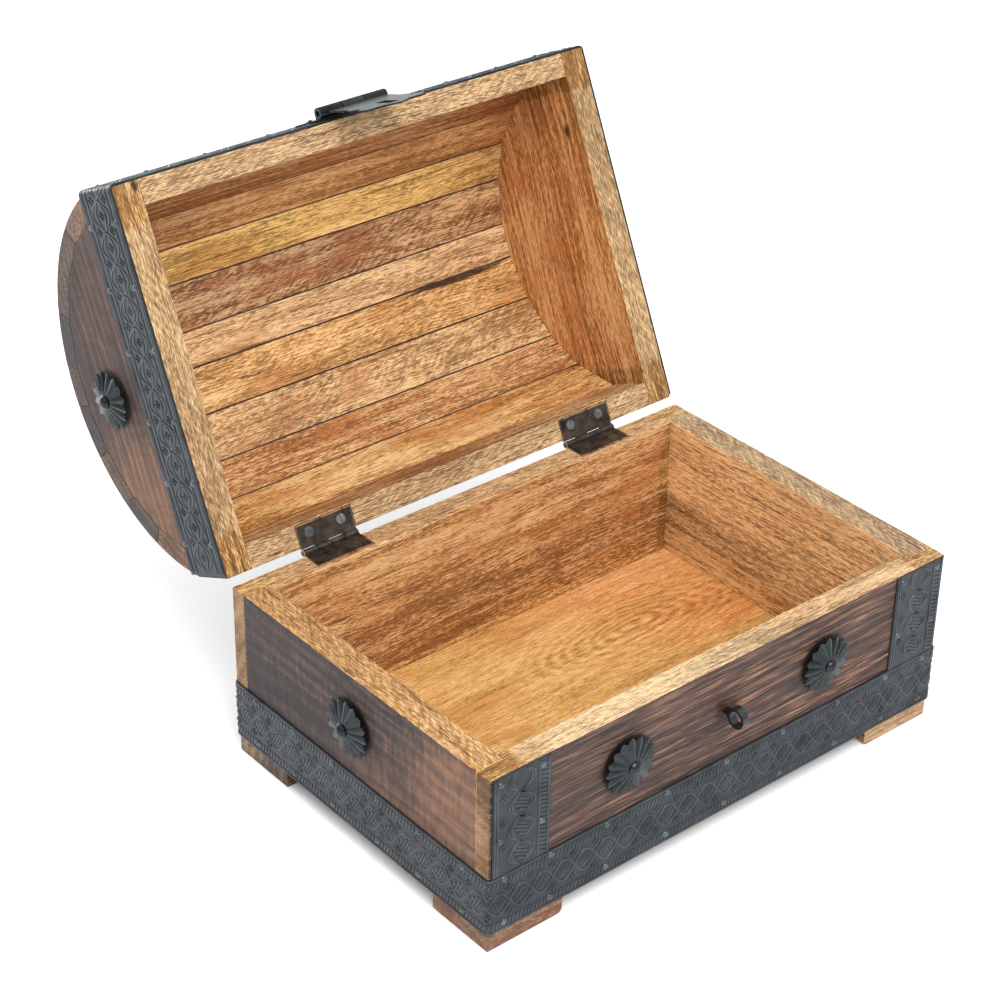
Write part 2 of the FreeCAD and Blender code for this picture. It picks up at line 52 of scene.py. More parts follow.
class Lead:
    """A socket of a node tree, on which sums are written as Python."""

    def __init__(self, tree, socket):
        self.tree = tree
        self.socket = socket

    def node(self, kind, settings, sockets, out=0):
        """Any other node: its type, its settings, and the values or links of its sockets."""
        made = self.tree.nodes.new(kind)
        for key, value in settings.items():
            if key == "stops":
                first, *middle, last = value
                for stop, (place, colour) in zip(made.color_ramp.elements, (first, last)):
                    stop.position = place
                    stop.color = colour
                for place, colour in middle:
                    made.color_ramp.elements.new(place).color = colour
            else:
                setattr(made, key, value)
        for key, value in sockets.items():
            for one in value if isinstance(value, list) else [value]:
                if isinstance(one, Lead):
                    self.tree.links.new(one.socket, made.inputs[key])
                else:
                    made.inputs[key].default_value = one
        return Lead(self.tree, made.outputs[out])

    def sum(self, operation, first, second):
        return self.node("ShaderNodeMath", {"operation": operation}, {0: first, 1: second})

    def __add__(self, other):
        return self.sum("ADD", self, other)

    def __sub__(self, other):
        return self.sum("SUBTRACT", self, other)

    def __rsub__(self, other):
        return self.sum("SUBTRACT", other, self)

    def __mul__(self, other):
        return self.sum("MULTIPLY", self, other)

    def __truediv__(self, other):
        return self.sum("DIVIDE", self, other)

    def __abs__(self):
        return self.sum("ABSOLUTE", self, 0.0)

    __radd__ = __add__
    __rmul__ = __mul__

    def between(self, low, high):
        """0 at low, 1 at high, and a smooth rise between them."""
        return self.node("ShaderNodeMapRange", {"interpolation_type": "SMOOTHSTEP"},
                         {0: self, 1: low, 2: high, 3: 0.0, 4: 1.0})

    def toward(self, colour, share):
        """This colour, turned into another one by that share."""
        return self.node("ShaderNodeMix", {"data_type": "RGBA"}, {0: share, 6: self, 7: colour}, 2)

    def vector(self, operation, other, out=0):
        return self.node("ShaderNodeVectorMath", {"operation": operation}, {0: self, 1: other}, out)

    def measure(self, operation, other=(0.0, 0.0, 0.0)):
        """The number that a sum on vectors gives, such as a length or a distance."""
        return self.vector(operation, other, "Value")

    def mapped(self, **sockets):
        return self.node("ShaderNodeMapping", {}, {"Vector": self, **sockets})

    def noise(self, along, across, detail, out=0):
        """Noise that is drawn out along the grain: waves per metre along it and across it."""
        return self.node("ShaderNodeTexNoise", {},
                         {"Vector": self.mapped(Scale=(along, across, across)), "Scale": 1.0,
                          "Detail": detail, "Roughness": 0.6}, out)

    def bump(self, strength, rise):
        """A surface that follows this height; its full rise is in millimetres."""
        return self.node("ShaderNodeBump", {}, {"Strength": strength, "Distance": rise * MM, "Height": self})


def finish_of(name):
    """A new material, its object coordinates in metres and its shader."""
    made = bpy.data.materials.new(name)
    made.use_nodes = True
    tree = made.node_tree
    place = Lead(tree, tree.nodes.new("ShaderNodeTexCoord").outputs["Object"])
    return made, place, tree.nodes["Principled BSDF"]


def feed(lead, shader, socket):
    lead.tree.links.new(lead.socket, shader.inputs[socket])


def shade(code, other, share):
    """A colour part of the way to another one, both as six-figure codes."""
    return tuple(x + (y - x) * share for x, y in zip(hue(code), hue(other)))


def metres(place):
    return tuple(v * MM for v in place)


DARK_STAIN = ("2A201F", "58402F", "A27A5A")
WAVE_OF_MM = 314.0  # the scale at which a wave texture has one band in a millimetre
# Sizes in millimetres; the fourth is the radius of the painted shade under each rosette.
EYE_RING, EYE_R, SOAK, SHADE_POOL_R, SCAR_R = 3.6, 42.0, 24.0, 14.0, 8.5


def mango(name, tone, seed, lie=Matrix(), heart=(70.0, 40.0), lean=0.0, ring=6.0, rings=0.2, figure=0.5,
          fleck=0.55, amber=0.5, bold=1.55, rim="C9A274", stain=DARK_STAIN, scorch=0.6, saw=0.0, soak=None,
          scar=None, tints=(), knots=(), eye=None, warm=None, shade_pools=()):
    """Mango wood: bare in its tone, in another one on its rim faces, and stained where its stain mark is 1.

    lie turns the piece so that its grain runs along X. heart is the log's middle across the grain and ring
    the width of a year, in millimetres; lean is the angle between the board and the log. rings, figure,
    fleck, amber and bold weigh the years, the ripple, the pores, the orange blotches and the whole contrast;
    scorch and saw weigh the burnt patches and the saw's marks in the stain. soak, scar, tints, knots, eye,
    warm and pools are single marks, given by their places in millimetres."""
    made, place, shader = finish_of(name)
    board = place.mapped(Location=lie.translation, Rotation=lie.to_euler())
    shift = board.vector("ADD", (seed * 1.37, seed * 0.71, seed * 0.53))
    sway = shift.noise(7.0, 20.0, 2.0, 1).vector("SUBTRACT", (0.5, 0.5, 0.5))
    sway = sway.vector("MULTIPLY", (0.0, 0.013, 0.013))
    grain = shift.vector("ADD", sway)
    log = board.vector("ADD", sway).mapped(Rotation=(0.0, lean, lean * 0.4),
                                           Location=(0.0, heart[0] * MM, heart[1] * MM))
    years = log.node("ShaderNodeTexWave", {"wave_type": "RINGS", "rings_direction": "X"},
                     {"Vector": log, "Scale": WAVE_OF_MM / ring}, 1)
    streak = grain.noise(2.5, 42.0, 3.0)
    band = grain.noise(10.0, 230.0, 2.0)
    fibre = grain.noise(42.0, 1700.0, 2.0)
    grit = grain.noise(280.0, 2300.0, 1.0)
    patch = shift.noise(10.0, 16.0, 3.0)
    ripple = grain.mapped(Rotation=(0.0, 0.0, 0.55)).noise(70.0, 620.0, 2.0)
    pores = grain.noise(110.0, 1500.0, 1.0).between(0.56, 0.66)
    cracks = grain.noise(14.0, 800.0, 1.0).between(0.62, 0.69)

    def blended(*weights):
        """Patterns that lie round 0.5, summed by their weights."""
        return sum((part - 0.5) * weight for part, weight in weights) + 0.5

    depth = blended((streak, 1.1 * bold), (band, 0.8 * bold), (fibre, 1.35 * bold), (grit, 1.6 * bold),
                    (patch, 0.9 * bold), (ripple, figure * bold), (years, rings * bold))
    if eye:
        off = board.vector("ADD", sway).vector("SUBTRACT", metres(eye))
        off = off.vector("MULTIPLY", (0.35, 1.0, 1.0)).measure("LENGTH")
        off = off + (patch - 0.5) * 0.016 + (band - 0.5) * 0.003
        wave = off * (2 * math.pi / (EYE_RING * MM))
        depth = depth + wave.sum("SINE", wave, 0.0) * off.between(EYE_R * MM, 0.006) * 0.16
    fine = blended((fibre, 1.0), (grit, 2.0), (ripple, 1.2), (patch, 0.9), (streak, 0.6))

    def ramp(light, first, dark, middle, bright):
        stops = [(first, dark), (0.5, middle), (0.95, bright)]
        return light.node("ShaderNodeValToRGB", {"stops": stops}, {0: light})

    def toned(code, light=depth):
        return ramp(light, 0.05, shade(code, "3A1C0A", 0.6), hue(code), shade(code, "FFE2AC", 0.45))

    def marked(attribute):
        return board.node("ShaderNodeAttribute", {"attribute_name": attribute}, {}, 2)

    blotch = shift.vector("ADD", (7.0, 3.0, 5.0)).noise(18.0, 30.0, 3.0)
    colour = toned(tone).toward(shade(tone, "A4501A", 0.6), blotch.between(0.5, 0.66) * amber)
    colour = colour.toward(toned(rim, fine), marked("rim"))
    for code, way, low, high in tints:
        reach = board.measure("DOT_PRODUCT", way).between(low * MM, high * MM)
        colour = colour.toward(toned(code), reach * streak.between(0.3, 0.6) * 0.85)
    if soak:
        along = abs(board.node("ShaderNodeSeparateXYZ", {}, {0: board}))
        wet = (along + (patch - 0.5) * 0.012).between((soak - SOAK) * MM, (soak - SOAK + 3.0) * MM)
        colour = colour.toward(toned("9E6C2C"), wet * 0.85)
    colour = colour.toward(hue("4E2C12"), pores * fleck)
    colour = colour.toward(hue("4A270F"), cracks * min(0.6, fleck))
    for at, long_r, wide_r in knots:
        off = board.vector("SUBTRACT", metres(at)).vector("DIVIDE", metres((long_r, wide_r, wide_r)))
        near = off.measure("LENGTH") + (band - 0.5) * 2.0 + (fibre - 0.5) * 1.5
        colour = colour.toward(hue("2E1408"), near.between(1.1, 0.5) * 0.9)
    char, brown, pale = [hue(code) for code in stain]
    straight = shift.vector("ADD", sway.vector("MULTIPLY", (0.0, 0.3, 0.3)))
    lines = straight.noise(26.0, 1050.0, 3.0) * (1.0 - saw) + shift.noise(330.0, 85.0, 4.0) * saw
    burnt = shift.noise(5.0, 30.0, 3.0).between(0.42, 0.62)
    threads = straight.noise(45.0, 1500.0, 2.0)
    worn = blended((lines, 1.5 - 0.4 * saw), (threads, 2.4 - 2.0 * saw), (streak, 0.8), (patch, 0.9),
                   (years, 0.25))
    outer = ramp(worn, 0.1, char, brown, pale)
    outer = outer.toward(shade("3C3331", stain[0], 0.3), burnt * scorch)
    if warm:
        code, way, low, high = warm
        near = board.measure("DOT_PRODUCT", way) + (patch - 0.5) * 0.06 + (lines - 0.5) * 0.03
        glow = ramp(worn, 0.1, shade(code, "1C100A", 0.6), hue(code), shade(code, "B07A50", 0.6))
        outer = outer.toward(glow, near.between(low * MM, high * MM) * 0.92)
    if scar:
        spot = place.measure("DISTANCE", metres(scar)) + (patch - 0.5) * 0.012 + (fibre - 0.5) * 0.012
        outer = outer.toward(hue("2E1109"), spot.between(SCAR_R * MM, 0.0050))
        bared = spot.between(SCAR_R * MM, 0.0070) * lines.between(0.56, 0.66)
        outer = outer.toward(hue("A87442"), bared * 0.6)
    # Painted shade: a near-black disc on the dark outside under each rosette, seen in the gaps under its
    # standing-off teeth.
    for site in shade_pools:
        under = board.measure("DISTANCE", metres(site))
        outer = outer.toward(hue("140E0C"), under.between(1.2 * SHADE_POOL_R * MM, SHADE_POOL_R * MM))
    cover = marked("stain")
    feed(colour.toward(outer, cover), shader, "Base Color")
    feed(fibre * 0.3 + 0.4, shader, "Roughness")
    relief = fibre * 0.8 + band * 0.5 - pores * 0.6 + lines * cover * 1.6
    feed(relief.bump(0.6, 0.6), shader, "Normal")
    shader.inputs["Specular IOR Level"].default_value = 0.3
    return made


def placed(name, data):
    """A new object in the scene."""
    made = bpy.data.objects.new(name, data)
    bpy.context.scene.collection.objects.link(made)
    return made


def prism(name, outline, axis, low, high, edge_r):
    """A closed bar in millimetres: an outline drawn across one axis, with its sharp edges rounded."""
    shape = bmesh.new()
    rows = []
    for end in (low, high):
        row = []
        for pair in outline:
            point = list(pair)
            point.insert(axis, end)
            row.append(shape.verts.new(Vector(point) * MM))
        rows.append(row)
    shape.faces.new(rows[0])
    shape.faces.new(rows[1])
    for i in range(len(outline)):
        shape.faces.new((rows[0][i - 1], rows[0][i], rows[1][i], rows[1][i - 1]))
    bmesh.ops.recalc_face_normals(shape, faces=shape.faces)
    sharp = [e for e in shape.edges if e.calc_face_angle(0.0) > math.radians(15)]
    bmesh.ops.bevel(shape, geom=sharp, offset=edge_r * MM, segments=2, profile=0.5, affect="EDGES",
                    clamp_overlap=True)
    data = bpy.data.meshes.new(name)
    shape.to_mesh(data)
    shape.free()
    return placed(name, data)


def darkened(piece, rule, rim=(0.0, 0.0)):
    """Marks each face with how much of the dark outside finish it carries, by its middle and its normal.

    rim is the height of the piece's bare rim and the way that it faces, up or down."""
    # The stain mark carries real stain and also painted shade, where a rule gives the dark finish to faces
    # lying in shade.
    mark = piece.data.attributes.new("stain", "FLOAT", "FACE")
    bare = piece.data.attributes.new("rim", "FLOAT", "FACE")
    for face in piece.data.polygons:
        middle = face.center / MM
        mark.data[face.index].value = rule(middle, face.normal)
        bare.data[face.index].value = float(face.normal.z * rim[1] > 0.4 and abs(middle.z - rim[0]) < 1.5)


def settle(piece, body, node, finish):
    """The piece stands for its CAD node, on that node's body and with the given finish."""
    piece.data.materials.clear()
    piece.data.materials.append(finish)
    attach(piece, body)
    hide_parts(node)


LENGTH, DEPTH, RIM_Z = 300.0, 200.0, 100.0
HX, HY = LENGTH / 2, DEPTH / 2
FOOT_Z, FLOOR_Z = 10.5, 17.0
floor_piece = prism("tray_floor", [(-HX, -HY), (HX, -HY), (HX, HY), (-HX, HY)], 2, FOOT_Z, FLOOR_Z, 0.5)
# Painted shade: the bottom board's underside carries the full dark stain.
darkened(floor_piece, lambda middle, normal: 1.0 if normal.z < -0.5 else 0.0)
floor_finish = mango("floor_mango", "D09D57", 1.0, heart=(-8.0, 0.0), lean=0.05, ring=5.0, rings=0.14,
                     figure=0.2, fleck=0.2, bold=0.8, eye=(64.0, 38.0, FLOOR_Z),
                     tints=[("CC7E40", (0.8, 0.6, 0.0), 20.0, 120.0)])
settle(floor_piece, "tray", "bottom_board", floor_finish)

# Front and rear boards: mango-wood boards of the full length, lapped at both ends over the end boards.
# Outside they are stained dark and scorched, the rim and the inside are clear-varnished.
WALL_T, END_T, LAP = 14.0, 16.0, 9.5
ALONG, DOWN = (1.0, 0.0, 0.0), (0.0, 0.0, -1.0)  # ways across which a board's tone can turn


def long_board(name, side):
    """side is -1 for the front and 1 for the rear."""
    lap = HX - END_T
    outline = [(-HX, HY), (HX, HY), (HX, HY - LAP), (lap, HY - LAP), (lap, HY - WALL_T), (-lap, HY - WALL_T),
               (-lap, HY - LAP), (-HX, HY - LAP)]
    return prism(name, [(x, side * y) for x, y in outline], 2, FLOOR_Z, RIM_Z, 0.6)


def outer_finish(side):
    """The stain of a long board: full outside, and part of it on the ends of its laps."""
    def rule(middle, normal):
        if normal.y * side > 0.5:
            return 1.0
        return 0.55 if abs(normal.x) > 0.5 and abs(middle.x) > HX - 1 else 0.0
    return rule


STAPLE_AT = (-2.0, -HY, 71.9)
FLOWER_Z, FRONT_FLOWERS, END_FLOWER_Y = RIM_Z - 29.0, (-66.5, 64.5), 3.0
TRAY_RIM = (RIM_Z, 1.0)
front_piece = long_board("tray_front", -1)
darkened(front_piece, outer_finish(-1), TRAY_RIM)
front_finish = mango("front_mango", "C48C52", 2.0, soak=HX, fleck=0.4, rim="CDA678",
                     tints=[("D6BA90", ALONG, -124.0, -104.0), ("C0966A", ALONG, -20.0, 50.0)],
                     stain=("2A1E1E", "583E33", "A5785A"), scorch=0.55, scar=STAPLE_AT,
                     shade_pools=[(x, -HY, FLOWER_Z) for x in FRONT_FLOWERS])
settle(front_piece, "tray", "front_board", front_finish)

HINGE_X, HINGE_LEN, LEAF_T, LEAF_IN, LEAF_SINK, MORTISE = 87.8, 34.6, 1.2, 11.8, 0.1, 0.4
CUT_PAST = 2.0


def leaf_seats(low, high):
    """The seats of the hinges' leaves in a rear edge, as boxes between two heights."""
    reach = HINGE_LEN / 2 + MORTISE
    near, far = HY - LEAF_IN - MORTISE, HY + CUT_PAST
    return [((x - reach, near, low), (x + reach, far, high)) for x in (-HINGE_X, HINGE_X)]


def made_plain(piece):
    """Turns what the piece's modifiers make into its own mesh."""
    bpy.context.view_layer.update()
    whole = bpy.data.meshes.new_from_object(piece.evaluated_get(bpy.context.evaluated_depsgraph_get()))
    piece.modifiers.clear()
    piece.data = whole


def hollowed(piece, blocks):
    """The piece less some plain boxes, each given by two corners in millimetres."""
    for low, high in blocks:
        shape = bmesh.new()
        bmesh.ops.create_cube(shape, size=1.0)
        size = (Vector(high) - Vector(low)) * MM
        middle = (Vector(high) + Vector(low)) * MM / 2
        stand = Matrix.Translation(middle) @ Matrix.Diagonal((*size, 1))
        bmesh.ops.transform(shape, verts=shape.verts, matrix=stand)
        data = bpy.data.meshes.new("mortise")
        shape.to_mesh(data)
        shape.free()
        block = placed("mortise", data)
        cutter = piece.modifiers.new("mortise", "BOOLEAN")
        cutter.object = block
        cutter.solver = "EXACT"
        made_plain(piece)
        bpy.data.objects.remove(block)


rear_piece = long_board("tray_rear", 1)
hollowed(rear_piece, leaf_seats(RIM_Z - LEAF_SINK - LEAF_T, RIM_Z + CUT_PAST))
darkened(rear_piece, outer_finish(1), TRAY_RIM)
rear_finish = mango("rear_mango", "CA8E56", 3.0, bold=1.8, soak=HX, ring=9.0, fleck=0.45, rim="B58A5E",
                    tints=[("9A6236", DOWN, -62.0, -48.0), ("C98A48", DOWN, -38.0, -28.0)])
settle(rear_piece, "tray", "rear_board", rear_finish)

# End boards: two mango-wood boards standing in the laps, with their grain along the chest's depth.
# Both show the saw's marks under their dark stain.
ACROSS = Matrix.Rotation(math.radians(-90), 4, "Z")
for side, name, seed, rim in ((-1, "left", 4.0, "B2824E"), (1, "right", 5.0, "A08262")):
    inner, outer = side * (HX - END_T), side * HX
    section = [(inner, -HY + LAP), (outer, -HY + LAP), (outer, HY - LAP), (inner, HY - LAP)]
    end_piece = prism("tray_" + name + "_end", section, 2, FLOOR_Z, RIM_Z, 0.5)
    darkened(end_piece, lambda middle, normal: 1.0 if normal.x * side > 0.5 else 0.0, TRAY_RIM)
    end_finish = mango(name + "_end_mango", "FDC88C", seed, lie=ACROSS, ring=4.0, rim=rim, bold=1.8,
                       amber=0.35, stain=("201819", "372B29", "6A5046"), saw=0.75,
                       warm=("7A5844", (-0.5, 0.0, -0.87), -62.0, -24.0),
                       shade_pools=[(END_FLOWER_Y, -HX * side, FLOWER_Z)],
                       tints=[("9A6638", DOWN, -56.0, -48.0), ("D0924E", DOWN, -36.0, -28.0)])
    settle(end_piece, "tray", name + "_end_board", end_finish)

# Feet: four sawn blocks of plain wood, nailed under the corners, with their inner lower edges rounded off.
# Their inner sides carry nearly the full dark stain as painted shade, their outer sides a little of it, and
# each came from another board.
FOOT_X, FOOT_Y, FOOT_INSET, FOOT_ROUND = 46.0, 41.0, 0.4, 3.2
foot_tones = {"front_left": "84573F", "front_right": "B98E66", "rear_left": "4C3428", "rear_right": "8E6242"}
for number, (name, tone) in enumerate(foot_tones.items()):
    side_y = -1 if "front" in name else 1
    side_x = -1 if "left" in name else 1
    far = HX - FOOT_INSET
    near = far - FOOT_X
    curve = [(near + FOOT_ROUND * (1 - math.sin(a)), FOOT_ROUND * (1 - math.cos(a)))
             for a in [math.radians(v) for v in (0, 22, 45, 68, 90)]]
    outline = [(far, FOOT_Z), (far, 0.0)] + curve + [(near, FOOT_Z)]
    ys = sorted([side_y * (HY - FOOT_INSET), side_y * (HY - FOOT_INSET - FOOT_Y)])
    foot = prism("foot_block_" + name, [(side_x * x, z) for x, z in outline], 1, ys[0], ys[1], 0.9)
    inward = -Vector((side_x, side_y, 0))
    # Painted shade: inner sides get 0.9 of the dark stain, outer sides 0.25, tops and bottoms none.
    darkened(foot, lambda middle, normal:
            0.0 if abs(normal.z) > 0.5 else 0.9 if normal.dot(inward) > 0.5 else 0.25)
    foot_finish = mango("foot_" + name + "_wood", tone, 6.0 + number, amber=0.05, bold=0.9)
    settle(foot, "tray", "foot_" + name, foot_finish)

# Lid end panels: D-shaped mango-wood boards over the full depth, with their grain along it.
# They are stained outside like the tray and orange-brown inside.
HINGE_Y, HINGE_Z, OPEN = 102.7, 100.1, math.radians(115)
hinge_at = Vector((0.0, HINGE_Y, HINGE_Z)) * MM
swing = Matrix.Translation(hinge_at) @ Matrix.Rotation(-OPEN, 4, "X") @ Matrix.Translation(-hinge_at)
LID_Z, DOME_Z, DOME_R, STAVE_T, LID_END_T, RAIL_T, RAIL_BEVEL = 100.2, 101.0, 103.5, 11.0, 15.0, 13.0, 1.6
STAVES = (18.4, 35.2, 51.0, 65.6, 82.6, 94.8, 110.7, 127.6, 143.4, 163.6)


def on_dome(angle, r):
    """A point of the closed lid's section: degrees from the front, and a radius in millimetres."""
    a = math.radians(angle)
    return (-r * math.cos(a), DOME_Z + r * math.sin(a))


def rail_outline(angle, side):
    """From the rim's outer edge up to the first stave and back inside; side is -1 for the front."""
    y_out, z_out = on_dome(angle, DOME_R)
    z_in = DOME_Z + (HY - RAIL_T) * math.tan(math.radians(angle if side < 0 else 180 - angle))
    return [(side * HY, LID_Z), (side * HY, z_out - RAIL_BEVEL), (y_out, z_out), (side * (HY - RAIL_T), z_in),
            (side * (HY - RAIL_T), LID_Z)]


panel_outline = rail_outline(STAVES[0], -1)[:3] + [on_dome(a, DOME_R - STAVE_T) for a in STAVES]
panel_outline += rail_outline(STAVES[-1], 1)[:3][::-1]
LID_RIM = (LID_Z, -1.0)
LID_FLOWER_Y, LID_FLOWER_Z = 5.0, LID_Z + 62.0
for side, name, seed in ((-1, "left", 11.0), (1, "right", 12.0)):
    xs = sorted((side * (HX - LID_END_T), side * HX))
    panel = prism("lid_" + name + "_panel", panel_outline, 0, xs[0], xs[1], 0.5)
    darkened(panel, lambda middle, normal:
            1.0 if normal.x * side > 0.5 or abs(normal.y) > 0.5 else 0.0, LID_RIM)
    panel.data.transform(swing)
    panel_finish = mango("lid_" + name + "_mango", "D89052", seed, lie=ACROSS @ swing.inverted(), soak=HY,
                         ring=5.0, rim="B08D62", stain=("231918", "3E2C26", "704E3E"), scorch=0.5, saw=0.4,
                         warm=("684A34", ALONG, 10.0, 60.0),
                         shade_pools=[(LID_FLOWER_Y, -HX * side, LID_FLOWER_Z)],
                         knots=[((-57.9, -135.0, 112.4), 5.0, 3.0), ((-96.9, 137.6, 100.2), 3.0, 2.0)])
    settle(panel, "lid", "lid_" + name + "_end", panel_finish)

# Lid rails: straight bars between the end panels along the front and the rear of the rim.
# The rear one is cut out for the leaves of the hinges.
for side, name, angle, seed in ((-1, "front", STAVES[0], 13.0), (1, "rear", STAVES[-1], 14.0)):
    inner = HX - LID_END_T
    rail = prism("lid_" + name + "_bar", rail_outline(angle, side), 0, -inner, inner, 0.5)
    if side > 0:
        hollowed(rail, leaf_seats(LID_Z - CUT_PAST, LID_Z + LEAF_SINK + LEAF_T))
    darkened(rail, lambda middle, normal: 1.0 if normal.y * side > 0.5 else 0.0, LID_RIM)
    rail.data.transform(swing)
    rail_finish = mango("lid_" + name + "_bar_mango", "A06A3E", seed, lie=swing.inverted(), fleck=0.65,
                        rim="AE8A62")
    settle(rail, "lid", "lid_" + name + "_rail", rail_finish)

# Lid staves: nine narrow boards laid over the end panels, each from another plank, planed flat inside.
# Outside they are rounded to one dome and stained dark.
# Each row is one stave's bare tone, its stain, the weight of its ripple and its streaks of another tone.
stave_woods = [
    ("A66A3C", ("44342A", "7A5C48", "A88462"), 0.4, []),
    ("D89C60", ("382E28", "645240", "907256"), 0.5, [("86522C", (-1.0, 0.0, 0.0), 30.0, 120.0)]),
    ("FACB76", ("2C2524", "504036", "7C624E"), 0.4, [("B07A44", ALONG, 90.0, 140.0)]),
    ("9A6644", ("1E1C1D", "363334", "5A5050"), 1.3, [("B88450", ALONG, 30.0, 110.0)]),
    ("CFA070", ("34281F", "624C3A", "926E52"), 0.6, []),
    ("D39D5E", ("231F1F", "403836", "6C584E"), 0.8, []),
    ("CFA26F", ("2C2420", "544334", "82644A"), 1.3, [("B98550", ALONG, 80.0, 140.0)]),
    ("B67A48", ("2A2523", "4C423C", "7A6254"), 0.6, []),
    ("C48A48", ("482F20", "80583A", "B48254"), 0.5, [])]
for number, (tone, stain, figure, tints) in enumerate(stave_woods):
    first, last = STAVES[number], STAVES[number + 1]
    arc = [on_dome(first + (last - first) * k / 8, DOME_R) for k in range(9)]
    flat = [on_dome(last, DOME_R - STAVE_T), on_dome(first, DOME_R - STAVE_T)]
    stave = prism("lid_dome_stave_%d" % (number + 1), arc + flat, 0, -HX, HX, 0.5)
    middle_a = math.radians((first + last) / 2)
    up = Vector((0.0, -math.cos(middle_a), math.sin(middle_a)))
    darkened(stave, lambda middle, normal: 0.0 if normal.dot(up) < -0.98 else 1.0)
    stave.data.transform(swing)
    stave_finish = mango("stave_%d_mango" % (number + 1), tone, 20.0 + number, lie=swing.inverted(),
                         stain=stain, scorch=0.75, figure=figure, heart=(30.0 + 9.0 * number, 30.0),
                         lean=0.02 * (number % 3), ring=4.0 + number % 4, tints=tints,
                         knots=[((92.0, 9.0, 193.0), 34.0, 2.2)])
    settle(stave, "lid", "lid_stave_%d" % (number + 1), stave_finish)

# Stamped bands: strips of dark grey sheet, nailed round the foot of the tray, round the lid's rim
# and on the front corners. Their raised lines were rolled in before they were bent round the box.
BRIGHT_EDGE_FADE = 0.25


def iron(name, colour, worn, rough, grain_size=60.0, metallic=0.55, rubbed_and_highlit=None):
    """Blackened sheet or bar: a dark coat that has worn through a little here and there.

    The last argument draws a bright line of a colour where a measure of the place passes a limit in
    millimetres:
    an edge worn bright, and partly a painted highlight where the edge catches the light."""
    made, place, shader = finish_of(name)
    cloud = place.noise(grain_size, grain_size, 3.0)
    specks = place.noise(900.0, 900.0, 1.0)
    base = cloud.node("ShaderNodeValToRGB", {"stops": [(0.3, hue(colour)), (0.75, hue(worn))]}, {0: cloud})
    for code, measure, limit in rubbed_and_highlit(place) if rubbed_and_highlit else ():
        bright = measure.between((limit - BRIGHT_EDGE_FADE) * MM, limit * MM) * cloud.between(0.3, 0.5)
        base = base.toward(hue(code), bright)
    feed(base, shader, "Base Color")
    feed(cloud * 0.25 + specks * 0.12 + (rough - 0.18), shader, "Roughness")
    feed((specks + cloud).bump(0.25, 0.2), shader, "Normal")
    shader.inputs["Metallic"].default_value = metallic
    return made


def dress(nodes, finish):
    """Gives CAD pieces that show as they are their finish."""
    for name in nodes:
        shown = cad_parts[name]
        shown.data.materials.clear()
        shown.data.materials.append(finish)


sheet_finish = iron("stamped_sheet", "1F2327", "383D41", 0.36)
dress(("base_band", "front_left_strap", "front_right_strap", "lid_band"), sheet_finish)


def tree_of(name, inputs, output):
    """A new node tree, its inputs' identifiers, and the leads that come from them."""
    tree = bpy.data.node_groups.new(name, "GeometryNodeTree")
    ids = {label: tree.interface.new_socket(label, in_out="INPUT", socket_type="NodeSocket" + kind).identifier
           for label, kind in inputs}
    tree.interface.new_socket(output, in_out="OUTPUT", socket_type="NodeSocketGeometry")
    given = {s.name: Lead(tree, s) for s in tree.nodes.new("NodeGroupInput").outputs if s.name}
    return tree, ids, given


